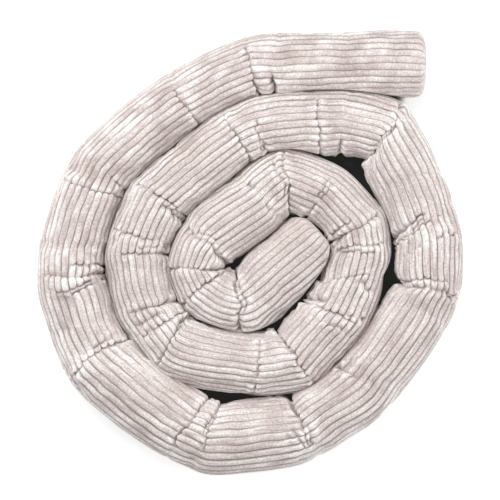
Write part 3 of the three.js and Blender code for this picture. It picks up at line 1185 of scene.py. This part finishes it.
def node(
    tree: bpy.types.NodeTree, kind: str, settings: dict | None = None, links: dict | None = None
) -> bpy.types.Node:
    """Adds a shader node.

    Args:
        tree: The node tree.
        kind: The node's type name without "ShaderNode".
        settings: Values of its input sockets by name or number, pairs of them by a pair of names, and
            attributes by name after a point.
        links: What to link to its inputs, by name or number. A node stands for its first output in use.

    Returns:
        The node.
    """
    made = tree.nodes.new(f"ShaderNode{kind}")
    for name, value in (settings or {}).items():
        if isinstance(name, str) and name.startswith("."):
            setattr(made, name[1:], value)
            continue
        for socket, number in zip(name, value) if isinstance(name, tuple) else ((name, value),):
            made.inputs[socket].default_value = number
    for name, source in (links or {}).items():
        if isinstance(source, bpy.types.Node):
            source = next(socket for socket in source.outputs if socket.enabled)
        tree.links.new(source, made.inputs[name])
    return made


def blank_material(name: str) -> tuple[bpy.types.Material, AddNode]:
    """A new material with no nodes, and the call that adds nodes to it."""
    material = bpy.data.materials.new(name)
    material.use_nodes = True
    material.node_tree.nodes.clear()
    return material, partial(node, material.node_tree)


@dataclass(frozen=True)
class WideCorduroy:
    """Cotton corduroy with wide wales and a brushed cut pile.

    The pile stands up, so the cloth has no gloss, only a soft bloom at grazing angles. The base weave
    between the wales is flat and darker, and its colour also gives painted shade in the grooves. Where the
    pile has been stroked or crushed it turns lighter or darker, in streaks that keep to their own wale.
    Round the outer side of the roll, over a range of wales, the grooves are drawn wider, with more painted
    shade, and the pile a little lighter. Where the cloth stands out its pile gets a painted highlight, and
    where it is dented painted shade. groove is where one starts and ends, in wales from the middle of its
    own.
    """

    pile: str = "#dbcfcb"
    pile_light: str = "#fbf7f4"
    pile_dark: str = "#bbada9"
    # the base weave's own darker colour, which also gives painted shade in the grooves
    ground_and_groove_shade: str = "#968a87"
    wale_pitch: float = 11.2 * MM
    # wales over which the outer side comes in: its grooves get painted shade and its pile is lighter
    outer_side_wales: Span = (14.5, 19.0)
    groove: Span = (0.36, 0.5)
    # painted shade: how much wider the dark groove is drawn over the outer side
    outer_painted_groove_widening: float = 0.12
    streak_length: float = 45 * MM
    streak_step: float = 0.43
    patch_size: float = 55 * MM
    fuzz_size: float = 3.0 * MM
    patch_share: float = 0.33
    fuzz_share: float = 0.4
    # how much lighter the pile is over the outer side
    outer_side_lightness: float = 0.026
    # how much the painted highlight and shade of the lift lighten or darken the pile
    lift_shading_lightness: float = 0.032
    dark_at: float = 0.38
    middle_at: float = 0.5
    light_at: float = 0.62
    parted: Span = (0.4, 0.66)
    groove_colour_shown: Span = (1.0, 0.35)
    # painted shade: how much more groove colour shows over the outer side
    outer_painted_groove_shade: float = 0.4
    fuzz_height: float = 1.3 * MM
    fuzz_strength: float = 0.9
    roughness: float = 0.92
    specular: float = 0.2
    sheen: float = 0.35
    sheen_roughness: float = 0.5
    translucency: float = 0.4
    translucency_depth: float = 3 * MM
    translucency_tint: tuple[float, float, float] = (1.0, 0.95, 0.9)

    def build(self, cloth_length: float) -> bpy.types.Material:
        """Makes the material, which reads the cloth's own UV map, at real scale, and Object coordinates.

        Args:
            cloth_length: The length that the whole UV map stands for, in metres.

        Returns:
            The material, named for its cloth.
        """
        material, add = blank_material("wide_corduroy")
        flat = add("UVMap", {".uv_map": CLOTH_MAP})
        place = add("TexCoord").outputs["Object"]
        axes = add("SeparateXYZ", links={0: flat}).outputs
        per_wale, per_streak = cloth_length / self.wale_pitch, cloth_length / self.streak_length
        wale = add("Math", {".operation": "MULTIPLY", 1: per_wale}, {0: axes["X"]})
        wale_number = add("Math", {".operation": "FLOOR"}, {0: wale})
        outer_side, groove = self._grooves(add, wale)
        along = add("Math", {".operation": "MULTIPLY", 1: per_streak}, {0: axes["Y"]})
        lie, fuzz = self._lie(add, wale_number, along, place)
        pile = self._pile(add, lie, fuzz, outer_side)
        parted = add("MapRange", {FROM: self.parted, TO: self.groove_colour_shown}, {"Value": lie})
        # painted shade: more groove colour shows over the outer side; less shows where the pile lies light
        groove_colour_share = add(
            "Math",
            {".operation": "MULTIPLY_ADD", ".use_clamp": True, 1: self.outer_painted_groove_shade},
            {0: outer_side, 2: parted},
        )
        # share of groove colour: the base weave's own darker colour and painted shade in the grooves
        ground_and_groove_shade = add("Math", {".operation": "MULTIPLY"}, {0: groove, 1: groove_colour_share})
        colour = add("Mix", {".data_type": "RGBA", 7: linear(self.ground_and_groove_shade)}, {0: ground_and_groove_shade, 6: pile})
        bump = add("Bump", {"Strength": self.fuzz_strength, "Distance": self.fuzz_height}, {"Height": fuzz})
        shader = add(
            "BsdfPrincipled",
            {
                "Roughness": self.roughness,
                "Specular IOR Level": self.specular,
                "Sheen Weight": self.sheen,
                "Sheen Roughness": self.sheen_roughness,
                "Subsurface Weight": self.translucency,
                "Subsurface Radius": self.translucency_tint,
                "Subsurface Scale": self.translucency_depth,
            },
            {"Base Color": colour, "Normal": bump},
        )
        add("OutputMaterial", links={"Surface": shader})
        return material

    def _grooves(self, add: AddNode, wale: bpy.types.Node) -> tuple[bpy.types.Node, bpy.types.Node]:
        """Adds the grooves between the wales.

        Args:
            add: The call that adds a node.
            wale: Place across the cloth, in wales.

        Returns:
            How far each place lies over the outer side, where the grooves get painted shade, and the share
            of groove, each from 0 to 1.
        """
        wale_share = add("Math", {".operation": "FRACT"}, {0: wale})
        from_middle = add("Math", {".operation": "SUBTRACT", 1: 0.5}, {0: wale_share})
        to_groove = add("Math", {".operation": "ABSOLUTE"}, {0: from_middle})
        soft = {".interpolation_type": "SMOOTHSTEP"}
        # the outer side of the roll, where the grooves are drawn wider and darker as painted shade
        outer_side = add("MapRange", soft | {FROM: self.outer_side_wales}, {"Value": wale})
        edge, end = self.groove
        # painted shade: over the outer side the groove starts nearer the middle of the wale
        opened = {".operation": "MULTIPLY_ADD", 1: -self.outer_painted_groove_widening, 2: edge}
        groove_edge = add("Math", opened, {0: outer_side})
        groove = add("MapRange", soft | {"From Max": end}, {"Value": to_groove, "From Min": groove_edge})
        return outer_side, groove

    def _lie(
        self, add: AddNode, wale_number: bpy.types.Node, along: bpy.types.Node, place: bpy.types.NodeSocket
    ) -> tuple[bpy.types.Node, bpy.types.Node]:
        """Adds the streaks and patches in which the pile lies one way or the other, and its fuzz.

        Args:
            add: The call that adds a node.
            wale_number: The wale's number, which its streaks keep to.
            along: Place along the cloth, in streaks.
            place: Object coordinates.

        Returns:
            The lie of the pile and the fuzz, each from 0 to 1.
        """
        across = add("Math", {".operation": "MULTIPLY", 1: self.streak_step}, {0: wale_number})
        streak_place = add("CombineXYZ", links={"X": across, "Y": along})
        streaks = add("TexNoise", {"Scale": 1.0, "Detail": 2.0, "Roughness": 0.55}, {"Vector": streak_place})
        per_patch, per_fuzz = 1 / self.patch_size, 1 / self.fuzz_size
        patches = add("TexNoise", {"Scale": per_patch, "Detail": 3.0, "Roughness": 0.6}, {"Vector": place})
        fuzz = add("TexNoise", {"Scale": per_fuzz, "Detail": 2.0, "Roughness": 0.7}, {"Vector": place})
        lie = add("Mix", {".data_type": "FLOAT", "Factor": self.patch_share}, {2: streaks, 3: patches})
        return lie, fuzz

    def _pile(
        self, add: AddNode, lie: bpy.types.Node, fuzz: bpy.types.Node, outer_side: bpy.types.Node
    ) -> bpy.types.Node:
        """Adds the colour of the pile.

        Args:
            add: The call that adds a node.
            lie: The lie of the pile.
            fuzz: Its fuzz.
            outer_side: How far each place lies over the outer side, which lightens the pile. The painted
            highlight and shade of how far the cloth stands out lighten or darken it too.

        Returns:
            The colour ramp.
        """
        lie_and_fuzz = add("Mix", {".data_type": "FLOAT", "Factor": self.fuzz_share}, {2: lie, 3: fuzz})
        lightened = {".operation": "MULTIPLY_ADD", 1: self.outer_side_lightness}
        raised = add("Math", lightened, {0: outer_side, 2: lie_and_fuzz})
        # painted highlight and shade: lighter pile where the cloth stands out, darker where it is dented
        stood = add("Attribute", {".attribute_name": PAINTED_LIFT_SHADING}).outputs["Fac"]
        pile_with_lift_shading = add("Math", {".operation": "MULTIPLY_ADD", 1: self.lift_shading_lightness}, {0: stood, 2: raised})
        pile = add("ValToRGB", links={"Fac": pile_with_lift_shading})
        dark, light = pile.color_ramp.elements
        dark.position, dark.color = self.dark_at, linear(self.pile_dark)
        light.position, light.color = self.light_at, linear(self.pile_light)
        pile.color_ramp.elements.new(self.middle_at).color = linear(self.pile)
        return pile


@dataclass(frozen=True)
class BackgroundPaper:
    """Matt white background paper, which the eye sees as white wherever it is open to the sky.

    Where ambient occlusion finds it in the roll's shelter, between the turns and along the base, it gets
    painted shade: a dark colour and less glow. open_from is the share of open sky from which it starts to
    be white and is white, glow what it gives back in shelter and when open, and far the distances from the
    middle over which far_glow joins it.
    """

    white: str = "#e6e6e6"
    # painted shade: the floor's colour where the roll shelters it
    painted_shade: str = "#2a2c2e"
    shelter_distance: float = 0.3
    shelter_samples: int = 48
    open_from: Span = (0.2, 0.3)
    glow: Span = (0.013, 0.5)
    far: Span = (0.6, 1.4)
    far_glow: float = 0.5

    def build(self) -> bpy.types.Material:
        """Makes the material."""
        material, add = blank_material("background_paper")
        sampling = {".samples": self.shelter_samples, "Distance": self.shelter_distance}
        shelter = add("AmbientOcclusion", sampling)
        soft = {".interpolation_type": "SMOOTHSTEP", FROM: self.open_from}
        openness = add("MapRange", soft, {"Value": shelter.outputs["AO"]})
        # painted shade: a dark colour where the roll shelters the floor
        colours = {6: linear(self.painted_shade), 7: linear(self.white)}
        shade = add("Mix", {".data_type": "RGBA"} | colours, {0: openness})
        seen = add("LightPath").outputs["Is Camera Ray"]
        # painted shade too: the floor glows less where the roll shelters it
        glow = add("MapRange", {TO: self.glow}, {"Value": openness})
        place = add("TexCoord").outputs["Object"]
        from_middle = add("VectorMath", {".operation": "LENGTH"}, {0: place})
        far_glow = add("MapRange", {FROM: self.far, "To Max": self.far_glow}, {"Value": from_middle})
        whole_glow = add("Math", {".operation": "ADD"}, {0: glow, 1: far_glow})
        glow_seen = add("Math", {".operation": "MULTIPLY"}, {0: whole_glow, 1: seen})
        shader = add(
            "BsdfPrincipled",
            {"Roughness": 1.0, "Specular IOR Level": 0.0, "Emission Color": linear("#ffffff")},
            {"Base Color": shade, "Emission Strength": glow_seen},
        )
        add("OutputMaterial", links={"Surface": shader})
        return material


@dataclass(frozen=True)
class BumperRoll:
    """The stuffed roll: its cloth's shape, mesh and finish."""

    course: Course = Course()
    easing: CornerEasing = CornerEasing()
    ribs: Ribs = Ribs()
    creasing: CreaseShape = CreaseShape()
    spacing: RowSpacing = RowSpacing()
    stuffing: Stuffing = Stuffing()
    finish: WideCorduroy = WideCorduroy()
    cloth_length: float = 4000.0
    # the lift past which the painted highlight and shade on the pile stop growing
    most_lift: float = 2.2
    weld: float = 0.01

    def build(self) -> bpy.types.Object:
        """Makes the roll.

        Returns:
            The roll's object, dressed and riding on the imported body.
        """
        cloth = RolledCloth(self.course, self.easing, self.ribs, self.creasing, self.spacing, self.stuffing)
        roll = put_in_scene(self._shape(cloth), "bumper_roll_cloth")
        roll.data.materials.append(self.finish.build(self.cloth_length * MM))
        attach(roll, ROLL_BODY)
        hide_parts(ROLL_NODE)
        triangles = sum(len(face.vertices) - 2 for face in roll.data.polygons)
        log.info("%s: %d triangles", roll.name, triangles)
        return roll

    def _placed(self, points: np.ndarray) -> np.ndarray:
        """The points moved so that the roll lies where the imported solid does."""
        low, high = (np.array(corner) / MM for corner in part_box(ROLL_NODE))
        shift = (low + high) / 2 - (points.min(axis=(0, 1)) + points.max(axis=(0, 1))) / 2
        shift[2] = low[2] - points[..., 2].min()
        return points + shift

    def _shape(self, cloth: RolledCloth) -> bmesh.types.BMesh:
        """Lays a grid of cloth on the points and closes it.

        Args:
            cloth: The cloth in its laid shape. How far it stands out at each point is kept as painted
            highlight and shade on its pile.

        Returns:
            The closed shape, in metres, with a UV map of the flat cloth in shares of the cloth's length.
        """
        points = self._placed(cloth.points)
        rows, columns = points.shape[:2]
        across = np.broadcast_to(cloth.position * self.finish.wale_pitch / MM, (rows, columns))
        flat = np.stack([across, run_along(points)], axis=2) / self.cloth_length
        # painted highlight and shade: how far the cloth stands out, eased off, to lighten or darken the pile
        lift_shading_heights = self.most_lift * np.tanh(cloth.lift / self.most_lift)
        grid = bmesh.new()
        bmesh.ops.create_grid(grid, x_segments=columns - 1, y_segments=rows - 1, size=0.5)
        layer = grid.loops.layers.uv.new(CLOTH_MAP)
        stood = grid.verts.layers.float.new(PAINTED_LIFT_SHADING)
        places, laid = (points * MM).reshape(-1, 3), flat.reshape(-1, 2)
        for vertex, place, height in zip(grid.verts, places, lift_shading_heights.reshape(-1)):
            vertex.co = place
            vertex[stood] = height
        for face in grid.faces:
            face.smooth = True
            for loop in face.loops:
                loop[layer].uv = laid[loop.vert.index]
        bmesh.ops.remove_doubles(grid, verts=grid.verts[:], dist=self.weld * MM)
        bmesh.ops.recalc_face_normals(grid, faces=grid.faces[:])
        return grid


@dataclass(frozen=True)
class Softbox:
    """A large soft studio lamp, aimed at the middle of the floor."""

    name: str
    azimuth: float
    elevation: float
    distance: float
    size: float
    power: float

    def build(self) -> bpy.types.Object:
        """Hangs the lamp and aims it."""
        lamp = bpy.data.lights.new(self.name, "AREA")
        lamp.size = self.size
        lamp.energy = self.power
        height = math.radians(self.elevation)
        place = Vector((*(math.cos(height) * heading(self.azimuth)), math.sin(height)))
        holder = bpy.data.objects.new(self.name, lamp)
        holder.location = place * self.distance
        holder.rotation_euler = place.to_track_quat("Z", "Y").to_euler()
        bpy.context.scene.collection.objects.link(holder)
        return holder


@dataclass(frozen=True)
class Studio:
    """A plain white floor, soft light from three sides, and a camera straight above."""

    frame_width: float = 0.77
    frame_centre: tuple[float, float] = (-0.0001, 0.0039)
    camera_height: float = 6.0
    focus_height: float = 0.046
    floor_size: float = 12.0
    paper: BackgroundPaper = BackgroundPaper()
    softboxes: tuple[Softbox, ...] = (
        Softbox("key", 112, 50, 3.0, 2.0, 60),
        Softbox("left", 184, 25, 3.0, 2.0, 27),
        Softbox("right", 348, 25, 3.0, 2.0, 48),
    )
    sky_colour: str = "#ffffff"
    sky_strength: float = 0.40

    def build(self) -> None:
        """Sets up the floor, the light and the camera."""
        bpy.context.scene.view_settings.view_transform = "Standard"
        self._floor()
        for softbox in self.softboxes:
            softbox.build()
        self._sky()
        self._camera()

    def _floor(self) -> None:
        """The floor: white to the eye in the open, and dark between the turns of the roll."""
        sheet = bmesh.new()
        bmesh.ops.create_grid(sheet, x_segments=1, y_segments=1, size=self.floor_size / 2)
        floor = put_in_scene(sheet, "floor")
        # the paper paints shade, dark between the turns of the roll and along its base
        floor.data.materials.append(self.paper.build())

    def _sky(self) -> None:
        """Even white light from all round, which the eye sees as pure white."""
        world = bpy.data.worlds.new("studio")
        world.use_nodes = True
        add = partial(node, world.node_tree)
        background = world.node_tree.nodes["Background"].inputs
        background["Color"].default_value = linear(self.sky_colour)
        rays = add("LightPath").outputs
        seen = add("Math", {".operation": "ADD"}, {0: rays["Is Camera Ray"], 1: rays["Is Glossy Ray"]})
        clamped = {".operation": "ADD", ".use_clamp": True}
        seen_through = add("Math", clamped, {0: seen, 1: rays["Is Transmission Ray"]})
        strength = add("MapRange", {TO: (self.sky_strength, 1.0)}, {"Value": seen_through})
        world.node_tree.links.new(strength.outputs["Result"], background["Strength"])
        bpy.context.scene.world = world

    def _camera(self) -> None:
        """A long lens straight above the roll."""
        lens = bpy.data.cameras.new("camera")
        distance = self.camera_height - self.focus_height
        lens.lens = lens.sensor_width * distance / self.frame_width
        lens.clip_end = 2 * self.camera_height
        camera = bpy.data.objects.new("camera", lens)
        camera.location = (*self.frame_centre, self.camera_height)
        bpy.context.scene.collection.objects.link(camera)
        bpy.context.scene.camera = camera


def main() -> None:
    """Builds the roll and the studio."""
    logging.basicConfig(level=logging.INFO, format="%(name)s: %(message)s")
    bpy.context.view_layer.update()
    BumperRoll().build()
    Studio().build()


if __name__ == "__main__":
    main()
